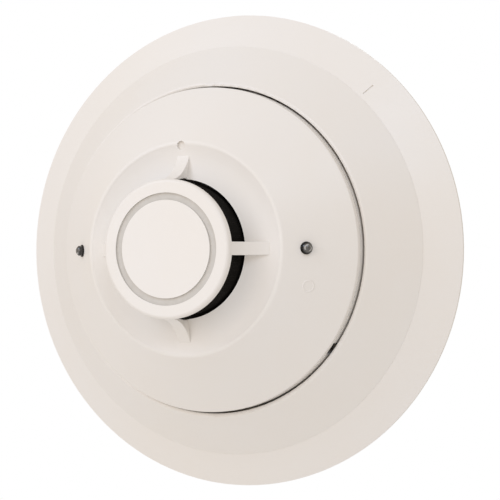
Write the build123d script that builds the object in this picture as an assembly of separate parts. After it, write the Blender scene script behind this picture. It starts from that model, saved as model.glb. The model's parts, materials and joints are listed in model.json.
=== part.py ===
from build123d import *
import os
from math import asin, atan2, cos, degrees, radians, sin

# A plug-in heat detector: a round head held by a bayonet in a flanged base.
#
# Every piece is first drawn about the detector's own axis. Heights run along it from
# the mounting plane, at 0, towards the room, and angles turn anticlockwise as seen from
# the room, starting at +X. At the end the detector is stood up, so that it faces -Y
# with +Z up, and its mounting plane lies at Y = 0.

# ---- driving dimensions, in millimetres and degrees ----

FLANGE_RADIUS = 77.5
HEAD_RADIUS = 51.55
OVERALL_HEIGHT = 51.7
WALL = 1.9

# base: flange, collar and recess
FLANGE_EDGE = 1.1
CREASE_RADIUS = 66.5
CREASE_HEIGHT = 7.2
CREASE_STEP = 0.2
RECESS_RADIUS = HEAD_RADIUS + 0.65
RECESS_WALL = 2.0
LIP_HEIGHT = 20.85
LIP_WIDTH = 1.3
LIP_ROUND = 0.3
PLATE = 2.2
WIRE_HOLE_RADIUS = 20.0
WIRE_COLLAR = 1.6
WIRE_COLLAR_HEIGHT = 4.0
RIB_COUNT = 12
RIB = 1.4
RIB_FOOT = 0.8
RIB_SINK = 0.6
MARK_ANGLE = 46.0
MARK_RADIUS = 69.6
MARK_LENGTH = 4.4
MARK_WIDTH = 0.5
MARK_DEPTH = 0.3

# cross-recessed screws
SCREW_CROWN = 0.45
SCREW_RECESS = 0.7
SCREW_RECESS_DEPTH = 0.8

# screw slots in the mounting plate
SCREW_SLOT_WIDTH = 4.4
WIDE_SLOT_SPACING = 86.1
WIDE_SLOT_LENGTH = 7.2
NARROW_SLOT_SPACING = 60.0
NARROW_SLOT_LENGTH = 14.4

# bayonet: four lugs in the base, four feet on the head
UNLOCK_ANGLE = 18.0
BAYONET_ANGLES = [75.0, 165.0, 255.0, 345.0]
LUG_HALF_ANGLE = 7.5
LUG_INNER_RADIUS = 48.6
LUG_BOTTOM = 8.5
LUG_TOP = 10.9
FOOT_HALF_ANGLE = 7.0
FOOT_BOTTOM = 5.6
FOOT_TOP = LUG_BOTTOM - 0.3
FOOT_RADIUS = RECESS_RADIUS - 0.6
NECK_INNER_RADIUS = 46.2
NECK_OUTER_RADIUS = LUG_INNER_RADIUS - 0.4
STOP_GAP_ANGLE = 0.4
STOP_ANGLE = 2.0
STOP_INNER_RADIUS = 49.4
POST_SINK = 0.5

# electrical contacts: a jaw in the base for each blade of the head
CONTACT_ANGLES = [36.0, 126.0, 216.0, 306.0]
CONTACT_RADIUS = 37.2
TERMINAL_OFFSET = 17.0
PAD_HEIGHT = 3.0
PAD_MARGIN = 0.8
PAD_HALF_ANGLE = 6.5
STRIP = 0.8
STRIP_HALF_WIDTH = 3.2
BLADE_GAP = 0.3
BLADE_HALF_ANGLE = 6.0
BLADE_INNER_RADIUS = 32.4
BLADE_OUTER_RADIUS = 39.6
STEM_HALF_ANGLE = 4.0
STEM = 0.9
TERMINAL_SCREW_RADIUS = 1.5
CLAMP = 1.0
CLAMP_SIZE = 6.8
CLAMP_EAR = 0.7

# tamper-release lever, reached through the notch in the head's rim
LEVER_ANGLE = -37.0
LEVER_HALF_WIDTH = 2.5
NOTCH_HALF_ANGLE = 2.5
LEVER_PIVOT_OFFSET = 12.0
LEVER_PIVOT_HEIGHT = 9.0
LEVER_INNER = 46.4
LEVER_OUTER = 49.8
LEVER_THICKNESS = 1.6
LEVER_PIN_RADIUS = 0.8
LEVER_EYE_RADIUS = 1.4
LEVER_PAD_RISE = 0.8
EAR_HALF_WIDTH = 1.6
EAR_THICKNESS = 1.2
PIN_CLEARANCE = 0.05
SIDE_CLEARANCE = 0.3

# head: outer wall, parting line and front cover
HEAD_BOTTOM = 12.0
BACK_PLATE = 1.8
BACK_WALL = 1.8
PARTING_HEIGHT = 21.5
PARTING_GAP = 0.3
PARTING_DEPTH = 0.8
SPIGOT_BOTTOM = 17.5
SPIGOT = 1.6
WALL_CORNER = (HEAD_RADIUS - 0.1, 23.9)
WALL_CORNER_ROUND = 0.5
FLANK_TOP = (33.7, 39.1)
CREST = (32.9, 39.55)
DISH_RIM = (32.0, 39.45)
DISH_FLOOR = (28.5, 39.1)
DISH_FOOT = (21.55, 41.0)

# head: chamber cap, vanes and screen
CAP_RADIUS = 21.2
CAP_UNDERSIDE = 49.5
CAP_EDGE_HEIGHT = 50.4
CAP_FACE_RADIUS = 20.2
CAP_THICKNESS = 2.0
CAP_HOLLOW_RADIUS = 18.0
GROOVE_RADIUS = 15.95
GROOVE_WIDTH = 2.2
GROOVE_DEPTH = 0.6
VANE_COUNT = 4
VANE_WIDTH = 4.0
VANE_EDGE_ROUND = 0.15
VANE_TOP = (CAP_RADIUS, CAP_UNDERSIDE + 0.5)
VANE_LEAN_HEIGHT = 43.0
VANE_ROOT_DEPTH = 0.7
VANE_WAIST = (24.3, 42.7)
VANE_TIP = (28.7, 39.2)
SCREEN_RADIUS = 20.6
SCREEN = 0.3
CHAMBER_FLOOR_TOP = 37.0
CHAMBER_FLOOR = 1.0
CHAMBER_FLOOR_RADIUS = 24.0
CHAMBER_LEG_ANGLES = [90.0, 210.0, 330.0]
CHAMBER_LEG_DISTANCE = 22.0
CHAMBER_LEG_RADIUS = 1.5
POST_RADIUS = 4.0
POST_TOP = 41.0
LEAD_RADIUS = 0.3
LEAD_OFFSET = 1.1
BEAD_HEIGHT = 45.6
BEAD_RADIUS = 1.9

# head: indicator lights and small marks on the cover
LED_ANGLES = {"right": 0.0, "left": 180.0}
LED_DISTANCE = 38.9
LED_RADIUS = 1.6
LED_DEPTH = 5.0
LED_STAND = 1.2
LED_DOME = 0.9
LED_LEG_RADIUS = 0.25
SLEEVE_RADIUS = 1.9
SLEEVE_STAND = 0.25
SLEEVE_FLANGE = 0.5
LED_HOLE_RADIUS = SLEEVE_RADIUS + 0.05
MAGNET_SPOT_ANGLE = 91.2
MAGNET_SPOT_DISTANCE = 32.1
MAGNET_SPOT_RADIUS = 1.4
MAGNET_SPOT_DEPTH = 1.0
PLUG_MARK_ANGLE = -16.4
PLUG_MARK_DISTANCE = 40.5
PLUG_MARK_RADIUS = 1.7
PLUG_MARK_BEAD = 0.5
PLUG_MARK_RISE = 0.16
PLUG_MARK_SINK = 0.5
PLUG_MARK_DOT_RADIUS = 0.4

# head: board and address switches
BOARD_BOTTOM = 20.0
BOARD = 1.6
BOARD_RADIUS = 44.5
BOARD_SCREW_ANGLES = [60.0, 140.0, 270.0]
BOARD_SCREW_DISTANCE = 40.0
BOARD_SCREW_RADIUS = 1.2
BOARD_SCREW_LENGTH = 5.5
BOARD_SCREW_HEAD_RADIUS = 2.3
BOARD_SCREW_HEAD = 1.6
CHIP_PLACE = (15.0, -19.0)
CHIP_SIZE = 9.0
CHIP_HEIGHT = 1.4
CHIP_LEGS = 8
CHIP_LEG_PITCH = 1.0
CHIP_LEG = (1.4, 0.4, 0.5)
CAPACITOR_PLACES = [(-24.0, 17.0), (-29.0, -5.0)]
CAPACITOR_SIZES = [(3.15, 7.0), (4.0, 7.6)]
CAPACITOR_WAIST_HEIGHT = 1.6
CAPACITOR_SCORE = (0.3, 0.4)
RESISTOR_START = (-14.0, -30.0)
RESISTOR_PITCH = (4.0, 4.5)
RESISTOR_SIZE = (1.25, 2.0, 0.6)
RESISTOR_ROWS = 2
RESISTORS_PER_ROW = 5
SUPPRESSOR_PLACE = (27.0, 18.0)
SUPPRESSOR_SIZE = (6.8, 5.6, 2.3)
SUPPRESSOR_TABS = (8.0, 3.0, 0.7)
REED_PLACE = (-1.5, 32.0)
REED_RADIUS = 1.2
REED_LENGTH = 12.0
REED_LIFT = 2.0
REED_WIRE_RADIUS = 0.3
REED_WIRE_LENGTH = 4.0
DIAL_POSITIONS = {"tens": -8.5, "ones": 8.5}
DIAL_RADIUS = 4.2
DIAL_FACE = 11.6
DIAL_STEM_RADIUS = 2.6
DIAL_SLOT_WIDTH = 0.9
DIAL_SLOT_DEPTH = 0.8
DIAL_ARROW_RADIUS = 1.3
DIAL_STEPS = 10
SWITCH_SIZE = 10.0
LABEL_SIZE = (20.0, 6.5)
LABEL_CORNER = 1.0
LABEL = 0.15
LABEL_OFFSET = 11.5

BOARD_TOP = BOARD_BOTTOM + BOARD
BACK_PLATE_TOP = HEAD_BOTTOM + BACK_PLATE
STRIP_TOP = PAD_HEIGHT + STRIP
BLADE_BOTTOM = STRIP_TOP + BLADE_GAP
BLADE_TOP = BLADE_BOTTOM + STRIP
JAW_BOTTOM = BLADE_TOP + BLADE_GAP
JAW_LEAF = 0.6
LEVER_BOTTOM = LEVER_PIVOT_HEIGHT - LEVER_THICKNESS / 2
LEVER_TOP = LEVER_PIVOT_HEIGHT + LEVER_THICKNESS / 2
FLANK_SLOPE = (FLANK_TOP[1] - WALL_CORNER[1]) / (WALL_CORNER[0] - FLANK_TOP[0])
FLANK_TILT = degrees(atan2(FLANK_SLOPE, 1))
GENTLE_SLOPE = (CREASE_HEIGHT - FLANGE_EDGE) / (FLANGE_RADIUS - CREASE_RADIUS)


# ---- drawing helpers ----

def turned(*edges):
    """The solid turned about the axis from a closed outline of (radius, height) edges."""
    outline = make_face(Plane.XZ * Curve(edges))
    return revolve(outline, Axis.Z)


def column(radius, bottom, top, x=0.0, y=0.0):
    """An upright cylinder between two heights."""
    return Pos(x, y, (bottom + top) / 2) * Cylinder(radius, top - bottom)


def ring(inner, outer, bottom, top):
    """An upright ring about the axis."""
    return column(outer, bottom, top) - column(inner, bottom - 1, top + 1)


def block(x_range, y_range, z_range):
    """A box between two limits on each axis."""
    corner = (x_range[0], y_range[0], z_range[0])
    size = (x_range[1] - x_range[0], y_range[1] - y_range[0], z_range[1] - z_range[0])
    return Pos(*corner) * Box(*size, align=(Align.MIN, Align.MIN, Align.MIN))


def sector(inner, outer, start, end, bottom, top):
    """A piece of a ring between two angles and two heights."""
    span = end - start
    outline = [
        CenterArc((0, 0), inner, start, span),
        CenterArc((0, 0), outer, start, span),
        Line(polar(inner, start), polar(outer, start)),
        Line(polar(inner, end), polar(outer, end)),
    ]
    return Pos(0, 0, bottom) * extrude(make_face(Curve(outline)), top - bottom)


def polar(radius, angle):
    """The point at a radius and an angle about the axis."""
    return (radius * cos(radians(angle)), radius * sin(radians(angle)))


def pan_screw(radius, length, head_radius, head_height):
    """A pan-head cross screw, with the underside of its head at the origin."""
    crown = head_height * SCREW_CROWN
    head = turned(
        Polyline((0, head_height), (0, 0), (head_radius, 0), (head_radius, head_height - crown)),
        ThreePointArc(
            (head_radius, head_height - crown),
            (head_radius * 0.62, head_height - crown * 0.3),
            (0, head_height),
        ),
    )
    arm = head_radius * 1.15
    recess = Box(arm, SCREW_RECESS, SCREW_RECESS_DEPTH * 2)
    recess += Box(SCREW_RECESS, arm, SCREW_RECESS_DEPTH * 2)
    return head + column(radius, -length, 0) - Pos(0, 0, head_height) * recess


def upright(shape):
    """Stands a piece up, so that the detector faces -Y with +Z up."""
    return Rot(90, 0, 0) * shape


# ---- base ----

def base_body():
    """The flange, the collar and the cup that the head sits in, with its mounting plate."""
    edge = (FLANGE_RADIUS, FLANGE_EDGE)
    crease_foot = (CREASE_RADIUS, CREASE_HEIGHT)
    crease_top = (CREASE_RADIUS, CREASE_HEIGHT + CREASE_STEP)
    lip_outer = (RECESS_RADIUS + LIP_WIDTH, LIP_HEIGHT - LIP_ROUND)
    lip_crown = (RECESS_RADIUS + LIP_WIDTH / 2, LIP_HEIGHT)
    lip_inner = (RECESS_RADIUS, LIP_HEIGHT - LIP_ROUND)
    cup_outer = RECESS_RADIUS + RECESS_WALL
    steep_slope = (lip_outer[1] - CREASE_HEIGHT) / (CREASE_RADIUS - lip_outer[0])
    gentle_drop = WALL / cos(atan2(GENTLE_SLOPE, 1))
    steep_drop = WALL / cos(atan2(steep_slope, 1))
    hem_radius = FLANGE_RADIUS - (gentle_drop - FLANGE_EDGE) / GENTLE_SLOPE
    under_crease = (CREASE_RADIUS, CREASE_HEIGHT - steep_drop)
    under_lip = (cup_outer, under_crease[1] + (CREASE_RADIUS - cup_outer) * steep_slope)
    shell = turned(
        Polyline(
            lip_inner,
            (RECESS_RADIUS, PLATE),
            (WIRE_HOLE_RADIUS + WIRE_COLLAR, PLATE),
            (WIRE_HOLE_RADIUS + WIRE_COLLAR, WIRE_COLLAR_HEIGHT),
            (WIRE_HOLE_RADIUS, WIRE_COLLAR_HEIGHT),
            (WIRE_HOLE_RADIUS, 0),
            (cup_outer, 0),
            under_lip,
            under_crease,
            (hem_radius, 0),
            (FLANGE_RADIUS, 0),
            edge,
            crease_foot,
            crease_top,
            lip_outer,
        ),
        ThreePointArc(lip_outer, lip_crown, lip_inner),
    )
    rib = Polyline(
        (cup_outer - RIB_SINK, RIB_FOOT),
        (hem_radius - 2 * RIB_SINK, RIB_FOOT),
        (under_crease[0], under_crease[1] + RIB_SINK),
        (under_lip[0] - RIB_SINK, under_lip[1] + 2 * RIB_SINK),
        close=True,
    )
    blade = extrude(make_face(Plane.XZ * rib), RIB / 2, both=True)
    for index in range(RIB_COUNT):
        shell += Rot(0, 0, (index + 0.5) * 360 / RIB_COUNT) * blade
    hoop_outer = CREASE_RADIUS + RIB / 2
    return shell + ring(hoop_outer - RIB, hoop_outer, RIB_FOOT, under_crease[1] + RIB_SINK)


def screw_slots():
    """Cutters for the two pairs of slots that take the mounting screws."""
    wide = extrude(SlotOverall(WIDE_SLOT_LENGTH, SCREW_SLOT_WIDTH), PLATE * 2, both=True)
    narrow = extrude(SlotOverall(NARROW_SLOT_LENGTH, SCREW_SLOT_WIDTH), PLATE * 2, both=True)
    cutters = []
    for side in (-1, 1):
        cutters.append(Pos(side * WIDE_SLOT_SPACING / 2, 0, 0) * wide)
        cutters.append(Pos(0, side * NARROW_SLOT_SPACING / 2, 0) * Rot(0, 0, 90) * narrow)
    return cutters


def bayonet_lug(angle):
    """A lug that holds one foot of the head down, and the posts that end its turn."""
    root = RECESS_RADIUS + 0.5
    lock = angle - FOOT_HALF_ANGLE - STOP_GAP_ANGLE
    release = angle + UNLOCK_ANGLE + FOOT_HALF_ANGLE + STOP_GAP_ANGLE
    lug = sector(LUG_INNER_RADIUS, root, lock - STOP_ANGLE, angle + LUG_HALF_ANGLE, LUG_BOTTOM, LUG_TOP)
    post_foot = PLATE - POST_SINK
    lock_post = sector(STOP_INNER_RADIUS, root, lock - STOP_ANGLE, lock, post_foot, LUG_TOP)
    release_post = sector(STOP_INNER_RADIUS, root, release, release + STOP_ANGLE, post_foot, FOOT_TOP)
    return lug + lock_post + release_post


def lever_bearing():
    """The two ears on the mounting plate that carry the tamper-release lever."""
    ear = (-LEVER_PIVOT_OFFSET - EAR_HALF_WIDTH, -LEVER_PIVOT_OFFSET + EAR_HALF_WIDTH)
    rise = (PLATE - POST_SINK, LEVER_PIVOT_HEIGHT + 1.5)
    inner_face = LEVER_INNER - SIDE_CLEARANCE
    inner = block((inner_face - EAR_THICKNESS, inner_face), ear, rise)
    outer = block((LEVER_OUTER + SIDE_CLEARANCE, RECESS_RADIUS + 0.4), ear, rise)
    return Rot(0, 0, LEVER_ANGLE) * (inner + outer)


def lever_pin(radius, overhang):
    """The lever's pivot pin, or with more radius and overhang, the hole for it."""
    start = LEVER_INNER - SIDE_CLEARANCE - 1.0 - overhang
    end = LEVER_OUTER + SIDE_CLEARANCE + 0.9 + overhang / 4
    pin = Pos((start + end) / 2, -LEVER_PIVOT_OFFSET, LEVER_PIVOT_HEIGHT) * Rot(0, 90, 0)
    return pin * Cylinder(radius, end - start)


def alignment_mark():
    """Cutter for the short radial line on the flange that shows where the head goes in."""
    height = FLANGE_EDGE + (FLANGE_RADIUS - MARK_RADIUS) * GENTLE_SLOPE
    tilt = degrees(atan2(GENTLE_SLOPE, 1))
    line = Box(MARK_LENGTH, MARK_WIDTH, 2 * MARK_DEPTH)
    return Rot(0, 0, MARK_ANGLE) * Pos(MARK_RADIUS, 0, height) * Rot(0, tilt, 0) * line


def base_shell():
    """The base moulding."""
    shell = base_body()
    for angle in CONTACT_ANGLES:
        terminal = angle - TERMINAL_OFFSET
        shell += sector(
            CONTACT_RADIUS - STRIP_HALF_WIDTH - PAD_MARGIN,
            CONTACT_RADIUS + STRIP_HALF_WIDTH + PAD_MARGIN,
            terminal - PAD_HALF_ANGLE,
            angle + BLADE_HALF_ANGLE,
            PLATE - POST_SINK,
            PAD_HEIGHT,
        )
    for angle in BAYONET_ANGLES:
        shell += bayonet_lug(angle)
    shell += lever_bearing()
    shell -= Rot(0, 0, LEVER_ANGLE) * lever_pin(LEVER_PIN_RADIUS + PIN_CLEARANCE, 0.4)
    shell -= alignment_mark()
    for angle in CONTACT_ANGLES:
        x, y = polar(CONTACT_RADIUS, angle - TERMINAL_OFFSET)
        shell -= column(TERMINAL_SCREW_RADIUS + 0.3, 0.6, PAD_HEIGHT + 1, x, y)
    for cutter in screw_slots():
        shell -= cutter
    return shell


def contact_clip(angle):
    """A stamped strip: a screw terminal at one end and a jaw for a blade at the other."""
    inner = CONTACT_RADIUS - STRIP_HALF_WIDTH + 0.2
    outer = CONTACT_RADIUS + STRIP_HALF_WIDTH
    terminal = angle - TERMINAL_OFFSET
    heel = angle - BLADE_HALF_ANGLE - 2.6
    mouth = angle + BLADE_HALF_ANGLE - 0.5
    strip = sector(inner, outer, terminal - 5.5, mouth, PAD_HEIGHT, STRIP_TOP)
    back = sector(inner, outer, heel, heel + 1.4, PAD_HEIGHT, JAW_BOTTOM + JAW_LEAF)
    leaf = sector(inner, outer, heel, mouth - 0.8, JAW_BOTTOM, JAW_BOTTOM + JAW_LEAF)
    lead_in = sector(inner, outer, mouth - 1.6, mouth - 0.8, JAW_BOTTOM, JAW_BOTTOM + 2 * JAW_LEAF)
    x, y = polar(CONTACT_RADIUS, terminal)
    return strip + back + leaf + lead_in - column(TERMINAL_SCREW_RADIUS + 0.05, 0, 10, x, y)


def terminal_clamps():
    """The four square plates that grip the field wires, with upturned ears."""
    clamps = []
    for angle in CONTACT_ANGLES:
        x, y = polar(CONTACT_RADIUS, angle - TERMINAL_OFFSET)
        plate = Box(CLAMP_SIZE, CLAMP_SIZE, CLAMP)
        for side in (-1, 1):
            ear = Box(CLAMP_SIZE - 1, CLAMP_EAR, CLAMP + 1)
            plate += Pos(0, side * (CLAMP_SIZE - CLAMP_EAR) / 2, 0.5) * ear
        plate -= Cylinder(TERMINAL_SCREW_RADIUS + 0.3, 4)
        turn = Rot(0, 0, angle - TERMINAL_OFFSET)
        clamps.append(Pos(x, y, STRIP_TOP + CLAMP / 2) * turn * plate)
    return Compound(clamps)


def terminal_screws():
    """The four screws that close the wire clamps."""
    seat = STRIP_TOP + CLAMP
    screw = pan_screw(TERMINAL_SCREW_RADIUS, seat - 0.8, 2.6, 1.9)
    screws = []
    for angle in CONTACT_ANGLES:
        x, y = polar(CONTACT_RADIUS, angle - TERMINAL_OFFSET)
        screws.append(Pos(x, y, seat) * Rot(0, 0, angle) * screw)
    return Compound(screws)


def tamper_lever():
    """The lever that a thin tool presses towards the wall through the head's notch."""
    tail = -LEVER_PIVOT_OFFSET - 1.3
    bar = block((LEVER_INNER, LEVER_OUTER), (tail, 3.0), (LEVER_BOTTOM, LEVER_TOP))
    eye = Pos((LEVER_INNER + LEVER_OUTER) / 2, -LEVER_PIVOT_OFFSET, LEVER_PIVOT_HEIGHT)
    barrel = eye * Rot(0, 90, 0) * Cylinder(LEVER_EYE_RADIUS, LEVER_OUTER - LEVER_INNER)
    pad_width = (-LEVER_HALF_WIDTH, LEVER_HALF_WIDTH)
    pad = block((LEVER_INNER + 1.0, HEAD_RADIUS), pad_width, (LEVER_BOTTOM, LEVER_TOP + LEVER_PAD_RISE))
    scribe = Pos((LEVER_INNER + LEVER_OUTER) / 2, -5.0, LEVER_TOP) * Box(8, 0.5, 0.6)
    lever = bar + barrel + pad + lever_pin(LEVER_PIN_RADIUS, 0.0) - scribe
    return Rot(0, 0, LEVER_ANGLE) * lever


# ---- head: front cover ----

def cover_shell():
    """Spigot, wall, flank, shoulder and dish, as one turned wall."""
    back_inner = HEAD_RADIUS - BACK_WALL
    spigot_outer = back_inner - 0.1
    spigot_inner = spigot_outer - SPIGOT
    seat_outer = HEAD_RADIUS - PARTING_DEPTH
    seat_top = PARTING_HEIGHT + PARTING_GAP
    drop = WALL / cos(radians(FLANK_TILT))
    inner_foot = (spigot_inner, WALL_CORNER[1] + (WALL_CORNER[0] - spigot_inner) * FLANK_SLOPE - drop)
    inner_top = (FLANK_TOP[0] - WALL / 2, FLANK_TOP[1] + WALL / 2 * FLANK_SLOPE - drop)
    return turned(
        Polyline(
            DISH_FOOT,
            (DISH_FOOT[0], DISH_FOOT[1] - WALL),
            (DISH_FLOOR[0], DISH_FLOOR[1] - WALL),
            inner_top,
            inner_foot,
            (spigot_inner, SPIGOT_BOTTOM),
            (spigot_outer, SPIGOT_BOTTOM),
            (spigot_outer, PARTING_HEIGHT),
            (seat_outer, PARTING_HEIGHT),
            (seat_outer, seat_top),
            (WALL_CORNER[0], seat_top),
        ),
        FilletPolyline((WALL_CORNER[0], seat_top), WALL_CORNER, FLANK_TOP, radius=WALL_CORNER_ROUND),
        ThreePointArc(FLANK_TOP, CREST, DISH_RIM),
        ThreePointArc(DISH_RIM, DISH_FLOOR, DISH_FOOT),
    )


def chamber_cap():
    """The round cap over the sensing chamber, with its rounded edge and ring groove."""
    ceiling = OVERALL_HEIGHT - CAP_THICKNESS
    edge_mid = (
        CAP_FACE_RADIUS + (CAP_RADIUS - CAP_FACE_RADIUS) * sin(radians(45)),
        CAP_EDGE_HEIGHT + (OVERALL_HEIGHT - CAP_EDGE_HEIGHT) * sin(radians(45)),
    )
    disc = turned(
        Polyline(
            (CAP_FACE_RADIUS, OVERALL_HEIGHT),
            (0, OVERALL_HEIGHT),
            (0, ceiling),
            (CAP_HOLLOW_RADIUS, ceiling),
            (CAP_HOLLOW_RADIUS, CAP_UNDERSIDE),
            (CAP_RADIUS, CAP_UNDERSIDE),
            (CAP_RADIUS, CAP_EDGE_HEIGHT),
        ),
        ThreePointArc((CAP_RADIUS, CAP_EDGE_HEIGHT), edge_mid, (CAP_FACE_RADIUS, OVERALL_HEIGHT)),
    )
    half_width = GROOVE_WIDTH / 2
    groove_floor = OVERALL_HEIGHT - GROOVE_DEPTH
    return disc - ring(
        GROOVE_RADIUS - half_width, GROOVE_RADIUS + half_width, groove_floor, OVERALL_HEIGHT + 1
    )


def vane():
    """One of the fins that carry the cap, with a hollow front edge that flares at its foot."""
    top_inner = SCREEN_RADIUS + 0.1
    foot_inner = DISH_FOOT[0] + 0.15
    root = DISH_FLOOR[1] - VANE_ROOT_DEPTH
    web = Curve([
        Polyline(
            VANE_TIP,
            (VANE_TIP[0], root),
            (foot_inner, root),
            (foot_inner, VANE_LEAN_HEIGHT),
            (top_inner, CAP_UNDERSIDE),
            (top_inner, VANE_TOP[1]),
            VANE_TOP,
        ),
        ThreePointArc(VANE_TOP, VANE_WAIST, VANE_TIP),
    ])
    fin = extrude(make_face(Plane.XZ * web), VANE_WIDTH / 2, both=True)
    return fillet(fin.edges().filter_by(GeomType.CIRCLE), VANE_EDGE_ROUND)


def plug_mark():
    """The low rounded ring on the flank, with a dot in its middle."""
    inner = PLUG_MARK_RADIUS - PLUG_MARK_BEAD / 2
    outer = PLUG_MARK_RADIUS + PLUG_MARK_BEAD / 2
    shoulder = PLUG_MARK_RISE / 3
    bead = turned(
        Polyline((outer, shoulder), (outer, -PLUG_MARK_SINK), (inner, -PLUG_MARK_SINK), (inner, shoulder)),
        ThreePointArc((inner, shoulder), (PLUG_MARK_RADIUS, PLUG_MARK_RISE), (outer, shoulder)),
    )
    dot = column(PLUG_MARK_DOT_RADIUS, -PLUG_MARK_SINK, PLUG_MARK_RISE / 2)
    return on_flank(PLUG_MARK_ANGLE, PLUG_MARK_DISTANCE, bead + dot)


def front_cover():
    """The head's one-piece front moulding: wall, vanes and chamber cap."""
    cover = cover_shell() + chamber_cap()
    for index in range(VANE_COUNT):
        cover += Rot(0, 0, index * 360 / VANE_COUNT) * vane()
    for angle in LED_ANGLES.values():
        cover -= on_flank(angle, LED_DISTANCE, column(LED_HOLE_RADIUS, -LED_DEPTH, LED_DEPTH))
    x, y = polar(MAGNET_SPOT_DISTANCE, MAGNET_SPOT_ANGLE)
    cover -= column(MAGNET_SPOT_RADIUS, CREST[1] - MAGNET_SPOT_DEPTH, OVERALL_HEIGHT, x, y)
    return cover + plug_mark()


# ---- head: sensing chamber ----

def guard_screen():
    """The outer form of the mesh band round the sensing chamber."""
    return ring(SCREEN_RADIUS - SCREEN, SCREEN_RADIUS, CHAMBER_FLOOR_TOP, CAP_UNDERSIDE - 0.1)


def chamber_floor():
    """The black disc under the screen, on three legs from the board."""
    underside = CHAMBER_FLOOR_TOP - CHAMBER_FLOOR
    screen_inner = SCREEN_RADIUS - SCREEN
    disc = column(CHAMBER_FLOOR_RADIUS, underside, CHAMBER_FLOOR_TOP)
    disc += ring(screen_inner - 1.0, screen_inner - 0.05, underside, CHAMBER_FLOOR_TOP + 1.5)
    for angle in CHAMBER_LEG_ANGLES:
        x, y = polar(CHAMBER_LEG_DISTANCE, angle)
        disc += column(CHAMBER_LEG_RADIUS, BOARD_TOP, underside + 0.2, x, y)
    return disc - column(POST_RADIUS + 0.2, 0, OVERALL_HEIGHT)


def thermistor_leads():
    """The thermistor's two wires, from the board to the middle of the bead."""
    return Compound([column(LEAD_RADIUS, BOARD_TOP, BEAD_HEIGHT, side * LEAD_OFFSET) for side in (-1, 1)])


def thermistor_bead():
    """The sensing bead, a drop of epoxy round the ends of its two wires."""
    drop = Pos(0, 0, BEAD_HEIGHT) * Sphere(BEAD_RADIUS)
    for side in (-1, 1):
        drop -= column(LEAD_RADIUS, BEAD_HEIGHT - 2 * BEAD_RADIUS, BEAD_HEIGHT, side * LEAD_OFFSET, 0)
    return drop


def thermistor_post():
    """The stepped post that holds the bead in the middle of the chamber."""
    post = column(POST_RADIUS, BOARD_TOP, POST_TOP - 2) + column(POST_RADIUS - 1, POST_TOP - 3, POST_TOP)
    for side in (-1, 1):
        post -= column(LEAD_RADIUS + 0.05, BOARD_TOP - 1, POST_TOP + 1, side * LEAD_OFFSET, 0)
    return post


# ---- head: indicator lights ----

def on_flank(angle, distance, shape):
    """Puts a shape on the flank, with the flank's surface as its floor."""
    place = Pos(distance, 0, flank_height(distance))
    return Rot(0, 0, angle) * place * Rot(0, FLANK_TILT, 0) * shape


def flank_height(distance):
    """The height of the flank's surface at a distance from the axis."""
    return FLANK_TOP[1] - (distance - FLANK_TOP[0]) * FLANK_SLOPE


def led(angle):
    """An indicator whose domed lens stands out of the flank, with two legs down to the board."""
    top = LED_STAND + LED_DOME
    dome_radius = (LED_RADIUS ** 2 + LED_DOME ** 2) / (2 * LED_DOME)
    halfway = asin(LED_RADIUS / dome_radius) / 2
    curve = (dome_radius * sin(halfway), top - dome_radius * (1 - cos(halfway)))
    lens = turned(
        Polyline((0, top), (0, -LED_DEPTH), (LED_RADIUS, -LED_DEPTH), (LED_RADIUS, LED_STAND)),
        ThreePointArc((LED_RADIUS, LED_STAND), curve, (0, top)),
    )
    heel_distance = LED_DISTANCE - LED_DEPTH * sin(radians(FLANK_TILT))
    heel_height = flank_height(LED_DISTANCE) - LED_DEPTH * cos(radians(FLANK_TILT))
    body = on_flank(angle, LED_DISTANCE, lens)
    for side in (-1, 1):
        leg = column(LED_LEG_RADIUS, BOARD_TOP, heel_height + 0.5, heel_distance, side)
        body += Rot(0, 0, angle) * leg
    return body


def led_sleeve(angle):
    """The black bush round an indicator, which shows as a ring on the flank."""
    bore = LED_RADIUS + 0.03
    bush = ring(bore, SLEEVE_RADIUS, -LED_DEPTH + 1, SLEEVE_STAND)
    bush += ring(bore, LED_HOLE_RADIUS + SLEEVE_FLANGE, -LED_DEPTH + 1, -LED_DEPTH + 2)
    return on_flank(angle, LED_DISTANCE, bush)


# ---- head: board and its components ----

def board_screw_points():
    return [polar(BOARD_SCREW_DISTANCE, angle) for angle in BOARD_SCREW_ANGLES]


def circuit_board():
    """The round printed circuit board."""
    board = column(BOARD_RADIUS, BOARD_BOTTOM, BOARD_TOP)
    for x, y in board_screw_points():
        board -= column(BOARD_SCREW_RADIUS + 0.2, BOARD_BOTTOM - 1, BOARD_TOP + 1, x, y)
    return board


def board_screws():
    """The three screws that hold the board to the rear housing."""
    screw = pan_screw(BOARD_SCREW_RADIUS, BOARD_SCREW_LENGTH, BOARD_SCREW_HEAD_RADIUS, BOARD_SCREW_HEAD)
    return Compound([Pos(x, y, BOARD_TOP) * screw for x, y in board_screw_points()])


def microcontroller():
    """A square flat package with gull-wing legs on its four sides."""
    chip = Box(CHIP_SIZE, CHIP_SIZE, CHIP_HEIGHT)
    leg_height = (CHIP_LEG[2] - CHIP_HEIGHT) / 2
    first = -(CHIP_LEGS - 1) * CHIP_LEG_PITCH / 2
    for quarter in range(4):
        for index in range(CHIP_LEGS):
            leg = Pos(CHIP_SIZE / 2 + 0.5, first + index * CHIP_LEG_PITCH, leg_height) * Box(*CHIP_LEG)
            chip += Rot(0, 0, quarter * 90) * leg
    return Pos(*CHIP_PLACE, BOARD_TOP + CHIP_HEIGHT / 2) * chip


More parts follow.
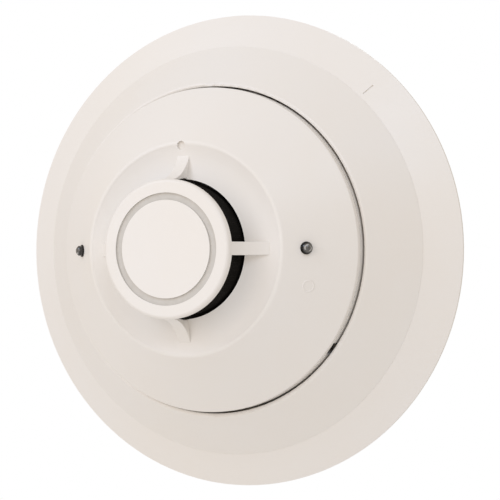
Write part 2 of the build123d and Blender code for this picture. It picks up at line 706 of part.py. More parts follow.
def electrolytic_capacitors():
    """Two upright cans with a crimped waist and a scored top."""
    cans = []
    for place, (radius, height) in zip(CAPACITOR_PLACES, CAPACITOR_SIZES):
        can = column(radius, BOARD_TOP, BOARD_TOP + height)
        can -= Pos(0, 0, BOARD_TOP + CAPACITOR_WAIST_HEIGHT) * Torus(radius + 0.35, 0.6)
        for turn in (0, 90):
            score = Rot(0, 0, turn) * Box(radius * 1.2, *CAPACITOR_SCORE)
            can -= Pos(0, 0, BOARD_TOP + height) * score
        cans.append(Pos(*place, 0) * can)
    return Compound(cans)


def chip_resistors():
    """Two rows of small surface-mount resistors."""
    chips = []
    for row in range(RESISTOR_ROWS):
        for index in range(RESISTORS_PER_ROW):
            x = RESISTOR_START[0] + index * RESISTOR_PITCH[0]
            y = RESISTOR_START[1] - row * RESISTOR_PITCH[1]
            chips.append(Pos(x, y, BOARD_TOP + RESISTOR_SIZE[2] / 2) * Box(*RESISTOR_SIZE))
    return Compound(chips)


def surge_suppressor():
    """A surface-mount diode block across the supply."""
    tabs = Pos(0, 0, (SUPPRESSOR_TABS[2] - SUPPRESSOR_SIZE[2]) / 2) * Box(*SUPPRESSOR_TABS)
    return Pos(*SUPPRESSOR_PLACE, BOARD_TOP + SUPPRESSOR_SIZE[2] / 2) * (Box(*SUPPRESSOR_SIZE) + tabs)


def reed_switch():
    """The magnet-test switch: a glass tube with a wire at each end, near the magnet spot."""
    tube = Rot(0, 90, 0) * Cylinder(REED_RADIUS, REED_LENGTH)
    wire_middle = (REED_LENGTH + REED_WIRE_LENGTH) / 2
    bend = REED_LENGTH / 2 + REED_WIRE_LENGTH - 0.2
    for side in (-1, 1):
        tube += Pos(side * REED_LENGTH / 2, 0, 0) * Sphere(REED_RADIUS)
        tube += Pos(side * wire_middle, 0, 0) * Rot(0, 90, 0) * Cylinder(REED_WIRE_RADIUS, REED_WIRE_LENGTH)
        tube += Pos(side * bend, 0, -REED_LIFT / 2) * Cylinder(REED_WIRE_RADIUS, REED_LIFT)
    return Pos(*REED_PLACE, BOARD_TOP + REED_LIFT) * tube


# ---- head: rear housing, blades and address switches ----

def bayonet_foot(angle):
    """A neck down from the housing, with a foot turned outwards under the base's lug."""
    start = angle - FOOT_HALF_ANGLE
    end = angle + FOOT_HALF_ANGLE
    neck = sector(NECK_INNER_RADIUS, NECK_OUTER_RADIUS, start, end, FOOT_BOTTOM, HEAD_BOTTOM + 0.5)
    return neck + sector(NECK_INNER_RADIUS, FOOT_RADIUS, start, end, FOOT_BOTTOM, FOOT_TOP)


def head_back():
    """The head's rear housing: a shallow dish with feet, board posts, slots and dial holes."""
    wall_inner = HEAD_RADIUS - BACK_WALL
    back = column(HEAD_RADIUS, HEAD_BOTTOM, BACK_PLATE_TOP)
    back += ring(wall_inner, HEAD_RADIUS, HEAD_BOTTOM, PARTING_HEIGHT)
    back -= sector(
        wall_inner - 0.5,
        HEAD_RADIUS + 1,
        LEVER_ANGLE - NOTCH_HALF_ANGLE,
        LEVER_ANGLE + NOTCH_HALF_ANGLE,
        HEAD_BOTTOM - 1,
        PARTING_HEIGHT + 1,
    )
    for x, y in board_screw_points():
        back += column(3.0, HEAD_BOTTOM + 0.5, BOARD_BOTTOM, x, y)
        back -= column(BOARD_SCREW_RADIUS + 0.05, BACK_PLATE_TOP, BOARD_BOTTOM + 1, x, y)
    for angle in BAYONET_ANGLES:
        back += bayonet_foot(angle)
    for angle in CONTACT_ANGLES:
        back -= blade_stem(angle, 0.1, HEAD_BOTTOM - 1, BACK_PLATE_TOP + 1)
    for x in DIAL_POSITIONS.values():
        back -= column(DIAL_RADIUS + 0.4, HEAD_BOTTOM - 1, BACK_PLATE_TOP + 1, x, 0)
        for index in range(DIAL_STEPS):
            tick = Pos(DIAL_RADIUS + 1.4, 0, HEAD_BOTTOM) * Box(1.0, 0.3, 0.3)
            back -= Pos(x, 0, 0) * Rot(0, 0, 90 + index * 360 / DIAL_STEPS) * tick
    return back


def blade_stem(angle, clearance, bottom, top):
    """The upright part of a contact blade, or with a clearance, the slot for it."""
    spread = STEM_HALF_ANGLE + degrees(clearance / BLADE_INNER_RADIUS)
    inner = BLADE_INNER_RADIUS - clearance
    return sector(inner, BLADE_INNER_RADIUS + STEM + clearance, angle - spread, angle + spread, bottom, top)


def contact_blade(angle):
    """A bent contact: a stem from the board, and a tongue that slides into the base's jaw."""
    tongue = sector(
        BLADE_INNER_RADIUS,
        BLADE_OUTER_RADIUS,
        angle - BLADE_HALF_ANGLE,
        angle + BLADE_HALF_ANGLE,
        BLADE_BOTTOM,
        BLADE_TOP,
    )
    return tongue + blade_stem(angle, 0.0, BLADE_BOTTOM, BOARD_BOTTOM)


def dial_switch(x):
    """The body of a rotary address switch, on the back of the board."""
    body = Pos(x, 0, 0) * block(
        (-SWITCH_SIZE / 2, SWITCH_SIZE / 2),
        (-SWITCH_SIZE / 2, SWITCH_SIZE / 2),
        (BACK_PLATE_TOP + 0.2, BOARD_BOTTOM),
    )
    return body - column(DIAL_STEM_RADIUS + PIN_CLEARANCE, HEAD_BOTTOM, BOARD_BOTTOM - 1.5, x, 0)


def address_dial(x):
    """A dial with a screwdriver slot that ends in an arrow."""
    dial = column(DIAL_RADIUS, DIAL_FACE, BACK_PLATE_TOP - 0.2)
    dial += column(DIAL_STEM_RADIUS, BACK_PLATE_TOP - 0.5, BOARD_BOTTOM - 2)
    slot = Box(DIAL_SLOT_WIDTH, DIAL_RADIUS * 1.3, 2 * DIAL_SLOT_DEPTH)
    arrow = extrude(RegularPolygon(DIAL_ARROW_RADIUS, 3), DIAL_SLOT_DEPTH, both=True)
    arrow = Pos(0, DIAL_RADIUS * 0.55, 0) * arrow
    return Pos(x, 0, 0) * (dial - Pos(0, 0, DIAL_FACE) * (slot + arrow))


def rear_label():
    """A blank label stuck to the back of the head."""
    label = extrude(RectangleRounded(*LABEL_SIZE, LABEL_CORNER), LABEL)
    return Pos(0, LABEL_OFFSET, HEAD_BOTTOM - LABEL) * label


# ---- every piece, by the name of its node ----

pieces = {
    "base_shell": base_shell(),
    "terminal_screws": terminal_screws(),
    "terminal_clamps": terminal_clamps(),
    "tamper_lever": tamper_lever(),
    "front_cover": front_cover(),
    "guard_screen": guard_screen(),
    "chamber_floor": chamber_floor(),
    "thermistor_bead": thermistor_bead(),
    "thermistor_leads": thermistor_leads(),
    "thermistor_post": thermistor_post(),
    "circuit_board": circuit_board(),
    "board_screws": board_screws(),
    "microcontroller": microcontroller(),
    "electrolytic_capacitors": electrolytic_capacitors(),
    "chip_resistors": chip_resistors(),
    "surge_suppressor": surge_suppressor(),
    "reed_switch": reed_switch(),
    "head_back": head_back(),
    "rear_label": rear_label(),
}
for number, angle in enumerate(CONTACT_ANGLES, start=1):
    pieces[f"contact_clip_{number}"] = contact_clip(angle)
    pieces[f"contact_blade_{number}"] = contact_blade(angle)
for side, angle in LED_ANGLES.items():
    pieces[f"led_{side}"] = led(angle)
    pieces[f"led_sleeve_{side}"] = led_sleeve(angle)
for name, x in DIAL_POSITIONS.items():
    pieces[f"dial_switch_{name}"] = dial_switch(x)
    pieces[f"address_dial_{name}"] = address_dial(x)

os.makedirs("parts", exist_ok=True)
for node, piece in pieces.items():
    export_step(upright(piece), f"parts/{node}.step")
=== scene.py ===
import json
import math

import bmesh
import bpy
from mathutils import Matrix, Vector


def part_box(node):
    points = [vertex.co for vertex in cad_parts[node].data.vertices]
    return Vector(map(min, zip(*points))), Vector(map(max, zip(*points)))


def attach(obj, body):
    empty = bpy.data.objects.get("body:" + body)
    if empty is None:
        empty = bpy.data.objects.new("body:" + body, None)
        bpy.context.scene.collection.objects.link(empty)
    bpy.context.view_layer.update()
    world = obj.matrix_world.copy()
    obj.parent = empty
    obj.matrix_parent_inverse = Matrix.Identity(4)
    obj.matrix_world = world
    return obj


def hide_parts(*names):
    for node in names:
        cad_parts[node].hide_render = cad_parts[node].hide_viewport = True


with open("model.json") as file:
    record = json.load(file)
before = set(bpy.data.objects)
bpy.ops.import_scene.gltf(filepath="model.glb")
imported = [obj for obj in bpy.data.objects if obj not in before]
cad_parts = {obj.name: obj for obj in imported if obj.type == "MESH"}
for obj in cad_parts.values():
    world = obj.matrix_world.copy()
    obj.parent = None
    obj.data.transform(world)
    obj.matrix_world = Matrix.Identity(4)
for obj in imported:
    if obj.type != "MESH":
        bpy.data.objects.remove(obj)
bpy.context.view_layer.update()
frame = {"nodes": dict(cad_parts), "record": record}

# The looks of a wall-mounted heat detector. It faces -Y with +Z up; its axis is the Y axis and
# heights above the mounting plane are -Y. Lengths are in metres.

MM = 0.001
NODES = frame["nodes"]


# ---- places read from the frame ----

def node_height(node):
    """The lowest and highest height of a node above the mounting plane."""
    low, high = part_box(node)
    return -high.y, -low.y


def node_radius(node):
    """How far a node reaches sideways from the detector's axis."""
    low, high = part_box(node)
    return max(high.x, high.z, -low.x, -low.z)


def middle(node):
    low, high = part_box(node)
    return (low + high) / 2


def at(radius, angle, height):
    """A point from its distance to the axis, its angle from +X towards +Z, and its height."""
    turn = math.radians(angle)
    return Vector((radius * math.cos(turn), -height, radius * math.sin(turn)))


# ---- camera, floor and light ----

CAMERA_DISTANCE = 0.511
CAMERA_AZIMUTH = 24.95
CAMERA_DROP = 0.0053
CAMERA_TARGET = Vector((0.0045, 0.0, 0.0))
CAMERA_ROLL = 0.43
CAMERA_LENS = 111.1
SENSOR = 36.0


def make_camera():
    turn = math.radians(CAMERA_AZIMUTH)
    place = Vector((math.sin(turn), -math.cos(turn), 0.0)) * CAMERA_DISTANCE
    place.z = -CAMERA_DROP
    data = bpy.data.cameras.new("camera")
    data.lens = CAMERA_LENS
    data.sensor_width = SENSOR
    data.clip_start = 0.01
    data.clip_end = 50.0
    camera = bpy.data.objects.new("camera", data)
    bpy.context.scene.collection.objects.link(camera)
    aim = (CAMERA_TARGET - place).to_track_quat("-Z", "Y").to_matrix().to_4x4()
    roll = Matrix.Rotation(math.radians(-CAMERA_ROLL), 4, "Z")
    camera.matrix_world = Matrix.Translation(place) @ aim @ roll
    bpy.context.scene.camera = camera


FLOOR_DROP = 0.30
FLOOR_RADIUS = 1.28
FLOOR_CORNERS = 96


def make_floor(material):
    mesh = bmesh.new()
    bmesh.ops.create_circle(mesh, cap_ends=True, segments=FLOOR_CORNERS, radius=FLOOR_RADIUS)
    bmesh.ops.translate(mesh, verts=mesh.verts, vec=(0, 0, -FLOOR_DROP))
    floor = mesh_object("floor", mesh, material)


def soft_box(name, place, size, power, colour):
    data = bpy.data.lights.new(name, "AREA")
    data.shape = "DISK"
    data.size = size
    data.energy = power
    data.color = colour
    light = bpy.data.objects.new(name, data)
    bpy.context.scene.collection.objects.link(light)
    aim = (Vector((0, 0, 0)) - place).to_track_quat("-Z", "Y").to_matrix().to_4x4()
    light.matrix_world = Matrix.Translation(place) @ aim


AMBIENT = 0.62
AMBIENT_COLOUR = (1.0, 0.895, 0.775)
BACKDROP = 1.0
SKY_COLOUR = (0.66, 0.79, 1.0)
LAMP_COLOUR = (1.0, 0.93, 0.90)
BACK_COLOUR = (0.85, 0.92, 1.0)
SKY_PLACE = Vector((0.8, -0.9, 0.9))
SKY_SIZE = 0.8
SKY_POWER = 4.9
LAMP_PLACE = Vector((-0.2, -0.65, 0.12))
LAMP_SIZE = 0.4
LAMP_POWER = 0.75
BACK_PLACE = Vector((-0.4, 0.9, 0.5))
BACK_SIZE = 0.8
BACK_POWER = 2.5


def make_lights():
    """Two broad cool lights from above, a weak warm one in front and a cool fill behind."""
    for side in (-1, 1):
        place = Vector((side * SKY_PLACE.x, SKY_PLACE.y, SKY_PLACE.z))
        soft_box(f"sky_{side + 1}", place, SKY_SIZE, SKY_POWER, SKY_COLOUR)
    soft_box("lamp", LAMP_PLACE, LAMP_SIZE, LAMP_POWER, LAMP_COLOUR)
    soft_box("back_fill", BACK_PLACE, BACK_SIZE, BACK_POWER, BACK_COLOUR)


def make_world():
    """Even pale light all round; the camera itself sees the backdrop as plain white."""
    world = bpy.data.worlds.new("studio")
    bpy.context.scene.world = world
    world.use_nodes = True
    nodes = world.node_tree.nodes
    links = world.node_tree.links
    nodes.clear()
    output = nodes.new("ShaderNodeOutputWorld")
    mix = nodes.new("ShaderNodeMixShader")
    glow = nodes.new("ShaderNodeBackground")
    glow.inputs["Color"].default_value = (*AMBIENT_COLOUR, 1.0)
    glow.inputs["Strength"].default_value = AMBIENT
    backdrop = nodes.new("ShaderNodeBackground")
    backdrop.inputs["Color"].default_value = (1.0, 1.0, 1.0, 1.0)
    backdrop.inputs["Strength"].default_value = BACKDROP
    path = nodes.new("ShaderNodeLightPath")
    links.new(path.outputs["Is Camera Ray"], mix.inputs[0])
    links.new(glow.outputs[0], mix.inputs[1])
    links.new(backdrop.outputs[0], mix.inputs[2])
    links.new(mix.outputs[0], output.inputs["Surface"])


# ---- mesh helpers ----

def mesh_object(name, mesh, material, smooth=False):
    data = bpy.data.meshes.new(name)
    bmesh.ops.recalc_face_normals(mesh, faces=mesh.faces)
    mesh.to_mesh(data)
    mesh.free()
    data.materials.append(material)
    if smooth:
        data.polygons.foreach_set("use_smooth", [True] * len(data.polygons))
    made = bpy.data.objects.new(name, data)
    bpy.context.scene.collection.objects.link(made)
    return made


# ---- materials ----

class Shade:
    """A small helper that builds one procedural material."""

    def __init__(self, name):
        self.material = bpy.data.materials.new(name)
        self.material.use_nodes = True
        self.nodes = self.material.node_tree.nodes
        self.links = self.material.node_tree.links
        self.nodes.clear()
        self.output = self.nodes.new("ShaderNodeOutputMaterial")
        self.shader = self.nodes.new("ShaderNodeBsdfPrincipled")
        self.links.new(self.shader.outputs[0], self.output.inputs["Surface"])
        self.place = self.nodes.new("ShaderNodeTexCoord").outputs["Object"]

    def set(self, **values):
        """Sets shader sockets, such as Roughness or Coat_Weight."""
        for key, value in values.items():
            self.shader.inputs[key.replace("_", " ")].default_value = value

    def noise(self, size, detail=4.0, roughness=0.55, stretch=(1, 1, 1)):
        """Noise whose features are about size metres across, from 0 to 1."""
        mapping = self.nodes.new("ShaderNodeMapping")
        mapping.inputs["Scale"].default_value = stretch
        noise = self.nodes.new("ShaderNodeTexNoise")
        noise.inputs["Scale"].default_value = 1.0 / size
        noise.inputs["Detail"].default_value = detail
        noise.inputs["Roughness"].default_value = roughness
        self.links.new(self.place, mapping.inputs["Vector"])
        self.links.new(mapping.outputs[0], noise.inputs["Vector"])
        return noise.outputs["Fac"]

    def remap(self, value, low, high, to_low=0.0, to_high=1.0):
        node = self.nodes.new("ShaderNodeMapRange")
        node.inputs["From Min"].default_value = low
        node.inputs["From Max"].default_value = high
        node.inputs["To Min"].default_value = to_low
        node.inputs["To Max"].default_value = to_high
        self.links.new(value, node.inputs["Value"])
        return node.outputs["Result"]

    def math(self, operation, a, b=0.5):
        node = self.nodes.new("ShaderNodeMath")
        node.operation = operation
        for socket, value in zip(node.inputs, (a, b)):
            if isinstance(value, (int, float)):
                socket.default_value = value
            else:
                self.links.new(value, socket)
        return node.outputs[0]

    def mix(self, factor, a, b):
        """A colour between two colours or colour outputs."""
        node = self.nodes.new("ShaderNodeMix")
        node.data_type = "RGBA"
        self.links.new(factor, node.inputs["Factor"])
        for socket, value in ((node.inputs[6], a), (node.inputs[7], b)):
            if isinstance(value, (tuple, list)):
                socket.default_value = (*value, 1.0)
            else:
                self.links.new(value, socket)
        return node.outputs[2]

    def edges(self, radius):
        """Near 1 on sharp edges, 0 on open faces."""
        bevel = self.nodes.new("ShaderNodeBevel")
        bevel.samples = 4
        bevel.inputs["Radius"].default_value = radius
        geometry = self.nodes.new("ShaderNodeNewGeometry")
        dot = self.nodes.new("ShaderNodeVectorMath")
        dot.operation = "DOT_PRODUCT"
        self.links.new(bevel.outputs[0], dot.inputs[0])
        self.links.new(geometry.outputs["Normal"], dot.inputs[1])
        return self.remap(dot.outputs["Value"], 0.995, 0.9)

    def crevices(self, distance):
        """Near 1 in corners and gaps, 0 in the open."""
        node = self.nodes.new("ShaderNodeAmbientOcclusion")
        node.samples = 6
        node.inputs["Distance"].default_value = distance
        return self.remap(node.outputs["AO"], 0.75, 0.2)

    def bump(self, height, depth, strength=1.0):
        node = self.nodes.new("ShaderNodeBump")
        node.inputs["Distance"].default_value = depth
        node.inputs["Strength"].default_value = strength
        self.links.new(height, node.inputs["Height"])
        self.links.new(node.outputs[0], self.shader.inputs["Normal"])

    def wire(self, value, socket):
        self.links.new(value, self.shader.inputs[socket])


CAP_FACE = node_height("front_cover")[1]
GROOVE_RADIUS = 15.95 * MM
GROOVE_WIDTH = 2.24 * MM
GROOVE_DEPTH = 0.6 * MM
# The grey painted as shade in the cap's groove.
GROOVE_SHADE_GREY = (0.60, 0.575, 0.535)
GRAIN = 0.35 * MM
GRAIN_DEPTH = 0.012 * MM
DUST_AND_SHADE_REACH = 0.9 * MM
EDGE_REACH = 0.5 * MM


def moulded_plastic(name, colour, worn_and_highlight, grime_and_shade, roughness, shine=0.42, ring=None):
    """Spark-textured plastic: slow colour drift, a matt grain, edges paler from rubbing and from a
    painted highlight, and corners and gaps darker, being dusty and holding painted shade.
    """
    shade = Shade(name)
    drift = shade.remap(shade.noise(0.045, 3.0), 0.3, 0.7)
    warm = tuple(c * f for c, f in zip(colour, (1.0, 0.988, 0.968)))
    base = shade.mix(drift, colour, warm)
    speck = shade.remap(shade.noise(0.0012, 5.0, 0.7), 0.66, 0.78, 0.0, 0.10)
    base = shade.mix(speck, base, grime_and_shade)
    # Paler towards the rubbed-edge colour on sharp edges: partly rubbing, partly a painted highlight.
    wear_and_highlight = shade.math("MULTIPLY", shade.edges(EDGE_REACH), shade.remap(shade.noise(0.006), 0.35, 0.7))
    base = shade.mix(shade.math("MULTIPLY", wear_and_highlight, 0.6), base, worn_and_highlight)
    # Darker towards the dirt colour in corners and narrow gaps: partly dusty dirt, partly painted shade
    # where those corners and gaps lie in shadow.
    patchiness = shade.remap(shade.noise(0.01), 0.2, 0.7, 0.5, 1.0)
    dust_and_shade = shade.math("MULTIPLY", shade.crevices(DUST_AND_SHADE_REACH), patchiness)
    base = shade.mix(shade.math("MULTIPLY", dust_and_shade, 0.35), base, grime_and_shade)
    # Painted shade: greys the cap's groove.
    if ring:
        base = shade.mix(ring_band(shade, *ring), base, GROOVE_SHADE_GREY)
    shade.wire(base, "Base Color")
    gloss = shade.remap(shade.noise(0.02, 4.0), 0.3, 0.7, roughness - 0.05, roughness + 0.07)
    shade.wire(shade.math("SUBTRACT", gloss, shade.math("MULTIPLY", wear_and_highlight, 0.12)), "Roughness")
    shade.set(Specular_IOR_Level=shine, IOR=1.5)
    shade.bump(shade.noise(GRAIN, 2.0, 0.6), GRAIN_DEPTH)
    return shade.material


def ring_band(shade, radius, width, height):
    """Near 1 on a ring round the detector's axis: painted shade, greying the floor and lower walls of the
    cap's groove.
    """
    split = shade.nodes.new("ShaderNodeSeparateXYZ")
    shade.links.new(shade.place, split.inputs[0])
    x_squared = shade.math("POWER", split.outputs["X"], 2.0)
    z_squared = shade.math("POWER", split.outputs["Z"], 2.0)
    distance = shade.math("SQRT", shade.math("ADD", x_squared, z_squared))
    off_centre = shade.math("ABSOLUTE", shade.math("SUBTRACT", distance, radius))
    band = shade.math("LESS_THAN", off_centre, width / 2)
    above = shade.math("LESS_THAN", split.outputs["Y"], -height)
    below_face = shade.math("GREATER_THAN", split.outputs["Y"], -height - GROOVE_DEPTH)
    mottled = shade.remap(shade.noise(0.002), 0.3, 0.7, 0.82, 1.0)
    inside = shade.math("MULTIPLY", band, shade.math("MULTIPLY", above, below_face))
    return shade.math("MULTIPLY", inside, mottled)


def stamped_metal(name, colour, dark, roughness, lay=(1, 1, 1)):
    """Rolled or turned metal: fine lines along the lay, tarnish in patches and bright edges."""
    shade = Shade(name)
    lines = shade.noise(0.0006, 4.0, 0.6, lay)
    tarnish = shade.remap(shade.noise(0.004, 5.0), 0.4, 0.75)
    base = shade.mix(shade.math("MULTIPLY", tarnish, 0.5), colour, dark)
    bright = tuple(min(1.0, c * 1.15) for c in colour)
    base = shade.mix(shade.math("MULTIPLY", shade.edges(0.0002), 0.7), base, bright)
    shade.wire(base, "Base Color")
    shade.wire(shade.remap(lines, 0.2, 0.8, roughness - 0.08, roughness + 0.1), "Roughness")
    shade.set(Metallic=1.0)
    shade.bump(lines, 0.000006)
    return shade.material


def solder_mask(name):
    """A green board: copper tracks showing through the mask, and a fine glass weave."""
    shade = Shade(name)
    tiles = shade.nodes.new("ShaderNodeTexBrick")
    tiles.inputs["Scale"].default_value = 260.0
    tiles.inputs["Mortar Size"].default_value = 0.16
    tiles.inputs["Color1"].default_value = (0.0, 0.0, 0.0, 1.0)
    tiles.inputs["Color2"].default_value = (0.35, 0.35, 0.35, 1.0)
    tiles.inputs["Mortar"].default_value = (1.0, 1.0, 1.0, 1.0)
    turn = shade.nodes.new("ShaderNodeMapping")
    turn.inputs["Rotation"].default_value = (math.radians(90), 0, 0)
    shade.links.new(shade.place, turn.inputs["Vector"])
    shade.links.new(turn.outputs[0], tiles.inputs["Vector"])
    tracks = shade.math("MULTIPLY", tiles.outputs["Color"], shade.remap(shade.noise(0.012), 0.45, 0.55))
    base = shade.mix(tracks, (0.012, 0.105, 0.035), (0.05, 0.24, 0.08))
    shade.wire(base, "Base Color")
    shade.wire(shade.remap(shade.noise(0.003), 0.3, 0.7, 0.22, 0.34), "Roughness")
    shade.set(Coat_Weight=0.3, Coat_Roughness=0.2)
    shade.bump(tracks, 0.00002)
    return shade.material


LENS_TILT = math.radians(40.6)
# Where and how pale the painted highlight ring lies, and where the painted dark edge begins, on each
# lens.
LENS_GLINT_RADIUS = 0.98 * MM
LENS_DARK_EDGE_RADIUS = 1.28 * MM
LENS_FADE = 0.12 * MM
LENS_GLINT = (0.42, 0.41, 0.39)


def lens_radius(shade):
    """How far a point of either indicator is from that indicator's own axis."""
    mirror = shade.nodes.new("ShaderNodeVectorMath")
    mirror.operation = "ABSOLUTE"
    shade.links.new(shade.place, mirror.inputs[0])
    sleeve = middle("led_sleeve_right")
    offset = shade.nodes.new("ShaderNodeVectorMath")
    offset.operation = "SUBTRACT"
    offset.inputs[1].default_value = (sleeve.x, -sleeve.y, 0.0)
    shade.links.new(mirror.outputs[0], offset.inputs[0])
    cross = shade.nodes.new("ShaderNodeVectorMath")
    cross.operation = "CROSS_PRODUCT"
    cross.inputs[1].default_value = (math.sin(LENS_TILT), math.cos(LENS_TILT), 0.0)
    shade.links.new(offset.outputs[0], cross.inputs[0])
    length = shade.nodes.new("ShaderNodeVectorMath")
    length.operation = "LENGTH"
    shade.links.new(cross.outputs[0], length.inputs[0])
    return length.outputs["Value"]


def smoked_lens(name):
    """An unlit indicator: a smoky grey dome with a broken pale ring painted on as a highlight, and black
    sides painted on as the dark refraction at a clear lens's edge.
    """
    shade = Shade(name)
    cloud = shade.remap(shade.noise(0.0009, 3.0), 0.3, 0.7)
    smoke = shade.mix(cloud, (0.07, 0.066, 0.06), (0.13, 0.124, 0.115))
    radius = lens_radius(shade)
    # Painted highlight: a broken pale ring on the dome.
    from_ring = shade.math("ABSOLUTE", shade.math("SUBTRACT", radius, LENS_GLINT_RADIUS))
    ring = shade.remap(from_ring, 2 * LENS_FADE, LENS_FADE)
    patches = shade.remap(shade.noise(0.0016, 2.0), 0.45, 0.55)
    base = shade.mix(shade.math("MULTIPLY", ring, patches), smoke, LENS_GLINT)
    # Painted dark edge: black towards the lens's sides, standing in for the refraction that darkens a
    # clear lens's rim.
    painted_dark_edge = shade.remap(radius, LENS_DARK_EDGE_RADIUS, LENS_DARK_EDGE_RADIUS + LENS_FADE)
    shade.wire(shade.mix(painted_dark_edge, base, BLACK), "Base Color")
    shade.wire(shade.remap(shade.noise(0.0008), 0.3, 0.7, 0.08, 0.16), "Roughness")
    shade.set(IOR=1.5, Coat_Weight=0.4, Coat_Roughness=0.06)
    shade.bump(shade.noise(0.0012, 2.0), 0.00002)
    return shade.material


def clear_glass(name):
    shade = Shade(name)
    shade.wire(shade.mix(shade.noise(0.002), (0.80, 0.90, 0.86), (0.90, 0.97, 0.94)), "Base Color")
    shade.wire(shade.remap(shade.noise(0.001), 0.3, 0.7, 0.02, 0.08), "Roughness")
    shade.set(Transmission_Weight=0.9, IOR=1.5)
    shade.bump(shade.noise(0.002), 0.000005)
    return shade.material


def paper(name):
    shade = Shade(name)
    fibre = shade.noise(0.0005, 6.0, 0.7, (1, 1, 3))
    shade.wire(shade.mix(fibre, (0.80, 0.80, 0.77), (0.90, 0.90, 0.87)), "Base Color")
    shade.wire(shade.remap(fibre, 0.2, 0.8, 0.6, 0.8), "Roughness")
    shade.bump(fibre, 0.00001)
    return shade.material


def pale_floor(name):
    shade = Shade(name)
    shade.wire(shade.mix(shade.noise(0.25), (0.86, 0.86, 0.855), (0.89, 0.89, 0.885)), "Base Color")
    shade.set(Roughness=0.9, Specular_IOR_Level=0.1)
    return shade.material


WHITE = (0.865, 0.838, 0.805)
# The rubbed colours below also paint highlights along edges, and the dirt colours also paint shade in
# corners and gaps.
WHITE_WORN_AND_HIGHLIGHT = (0.95, 0.94, 0.92)
WHITE_GRIME_AND_SHADE = (0.52, 0.47, 0.40)
BLACK = (0.011, 0.010, 0.009)
SCREEN_BLACK = (0.0065, 0.0052, 0.0036)
BLACK_WORN_AND_HIGHLIGHT = (0.07, 0.07, 0.068)
BLACK_GRIME_AND_SHADE = (0.05, 0.046, 0.04)

GROOVE_SHADE_BAND = (GROOVE_RADIUS, GROOVE_WIDTH, CAP_FACE - 1.5 * GROOVE_DEPTH)

SLOT_MATERIALS = {
    "housing": moulded_plastic("housing", WHITE, WHITE_WORN_AND_HIGHLIGHT, WHITE_GRIME_AND_SHADE, 0.42, ring=GROOVE_SHADE_BAND),
    "black_plastic": moulded_plastic("black_plastic", BLACK, BLACK_WORN_AND_HIGHLIGHT, BLACK_GRIME_AND_SHADE, 0.45),
    "chip_black": moulded_plastic("chip_black", (0.03, 0.03, 0.03), BLACK_WORN_AND_HIGHLIGHT, BLACK_GRIME_AND_SHADE, 0.6),
    "epoxy": moulded_plastic("epoxy", (0.02, 0.018, 0.016), BLACK_WORN_AND_HIGHLIGHT, BLACK_GRIME_AND_SHADE, 0.2),
    "switch_body": moulded_plastic("switch_body", (0.045, 0.065, 0.13), BLACK_WORN_AND_HIGHLIGHT, BLACK_GRIME_AND_SHADE, 0.4),
    "dial": moulded_plastic("dial", (0.86, 0.85, 0.81), WHITE_WORN_AND_HIGHLIGHT, WHITE_GRIME_AND_SHADE, 0.35),
    "screen_mesh": moulded_plastic("screen_mesh", SCREEN_BLACK, BLACK, BLACK, 0.65, 0.12),
    "contact_metal": stamped_metal("contact_metal", (0.80, 0.64, 0.36), (0.45, 0.30, 0.14), 0.3),
    "steel": stamped_metal("steel", (0.66, 0.66, 0.66), (0.35, 0.33, 0.30), 0.32),
    "tinned_wire": stamped_metal("tinned_wire", (0.74, 0.74, 0.73), (0.45, 0.45, 0.45), 0.3),
    "capacitor_can": stamped_metal("capacitor_can", (0.80, 0.80, 0.81), (0.5, 0.5, 0.5), 0.28, (1, 6, 1)),
    "board": solder_mask("board"),
    "led_lens": smoked_lens("led_lens"),
    "reed_glass": clear_glass("reed_glass"),
    "label_paper": paper("label_paper"),
}


def dress_nodes():
    """Gives every CAD node the material of its slot."""
    for part in frame["record"]["subparts"]:
        data = NODES[part["node"]].data
        data.materials.clear()
        data.materials.append(SLOT_MATERIALS[part["material_slot"]])


# ---- mesh band round the sensing chamber ----

SCREEN_PITCH = 0.62 * MM
SCREEN_WIRE = 0.15 * MM
SCREEN_WEAVE = 0.10 * MM


def wire_mesh(mesh, path, closed, radius):
    """Adds a thin four-sided wire along a path of (point, outward, along) frames."""
    loops = []
    for point, outward, along in path:
        side = outward.cross(along).normalized()
        corners = [outward, side, -outward, -side]
        loops.append([mesh.verts.new(point + corner * radius) for corner in corners])
    pairs = list(zip(loops, loops[1:] + loops[:1])) if closed else list(zip(loops, loops[1:]))
    for first, second in pairs:
        for k in range(4):
            mesh.faces.new((first[k], first[(k + 1) % 4], second[(k + 1) % 4], second[k]))
    if not closed:
        mesh.faces.new(loops[0])
        mesh.faces.new(list(reversed(loops[-1])))


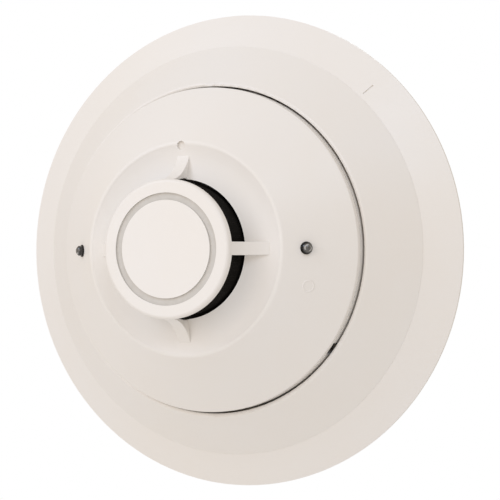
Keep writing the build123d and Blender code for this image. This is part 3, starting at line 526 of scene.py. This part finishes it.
def make_screen():
    """Woven wires: hoops round the chamber and uprights along its axis, over and under."""
    low, high = node_height("guard_screen")
    radius = node_radius("guard_screen") - SCREEN_WIRE - SCREEN_WEAVE
    uprights = 2 * round(math.pi * radius / SCREEN_PITCH)
    hoops = int((high - low - 2 * SCREEN_WIRE) / SCREEN_PITCH)
    first = (low + high - (hoops - 1) * SCREEN_PITCH) / 2
    mesh = bmesh.new()
    for i in range(uprights):
        angle = 360 * i / uprights
        outward = at(1, angle, 0)
        path = []
        for j in range(hoops):
            lift = SCREEN_WEAVE * (-1) ** (i + j)
            path.append((at(radius + lift, angle, first + j * SCREEN_PITCH), outward, Vector((0, -1, 0))))
        wire_mesh(mesh, path, False, SCREEN_WIRE)
    for j in range(hoops):
        path = []
        for i in range(uprights):
            angle = 360 * i / uprights
            lift = -SCREEN_WEAVE * (-1) ** (i + j)
            point = at(radius + lift, angle, first + j * SCREEN_PITCH)
            path.append((point, at(1, angle, 0), at(1, angle + 90, 0)))
        wire_mesh(mesh, path, True, SCREEN_WIRE)
    screen = mesh_object("woven_screen", mesh, SLOT_MATERIALS["screen_mesh"])
    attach(screen, "head")
    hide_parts("guard_screen")


# ---- digits round the address dials, on the head's back ----

DIGIT_SIZE = 1.7 * MM
DIGIT_GAP = 3.0 * MM
DIGIT_RISE = 0.04 * MM
DIGIT_COUNT = 10


def digit_mesh(digit):
    """The flat mesh of one digit, centred on its own origin in the XY plane."""
    curve = bpy.data.curves.new("digit", "FONT")
    curve.body = str(digit)
    curve.size = DIGIT_SIZE
    curve.align_x = "CENTER"
    curve.align_y = "CENTER"
    curve.extrude = DIGIT_RISE
    carrier = bpy.data.objects.new("digit", curve)
    data = bpy.data.meshes.new_from_object(carrier)
    bpy.data.objects.remove(carrier)
    bpy.data.curves.remove(curve)
    return data


def make_dial_digits():
    """Printed digits 0 to 9 round each dial, read from behind the head."""
    mesh = bmesh.new()
    face_height = node_height("rear_label")[1]
    half_turn = Matrix.Rotation(math.radians(180), 4, "Z")
    facing_back = half_turn @ Matrix.Rotation(math.radians(90), 4, "X")
    for name in ("tens", "ones"):
        centre = middle(f"address_dial_{name}")
        low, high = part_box(f"address_dial_{name}")
        radius = (high.x - low.x) / 2 + DIGIT_GAP
        for digit in range(DIGIT_COUNT):
            turn = math.radians(90 + 360 * digit / DIGIT_COUNT)
            place = Vector((
                centre.x + radius * math.cos(turn),
                -face_height,
                centre.z + radius * math.sin(turn),
            ))
            data = digit_mesh(digit)
            data.transform(Matrix.Translation(place) @ facing_back)
            mesh.from_mesh(data)
            bpy.data.meshes.remove(data)
    digits = mesh_object("dial_digits", mesh, SLOT_MATERIALS["black_plastic"])
    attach(digits, "head")


# ---- the scene ----

bpy.context.scene.view_settings.view_transform = "Standard"
bpy.context.scene.view_settings.look = "None"

make_camera()
make_world()
make_floor(pale_floor("floor"))
make_lights()
dress_nodes()
make_screen()
make_dial_digits()
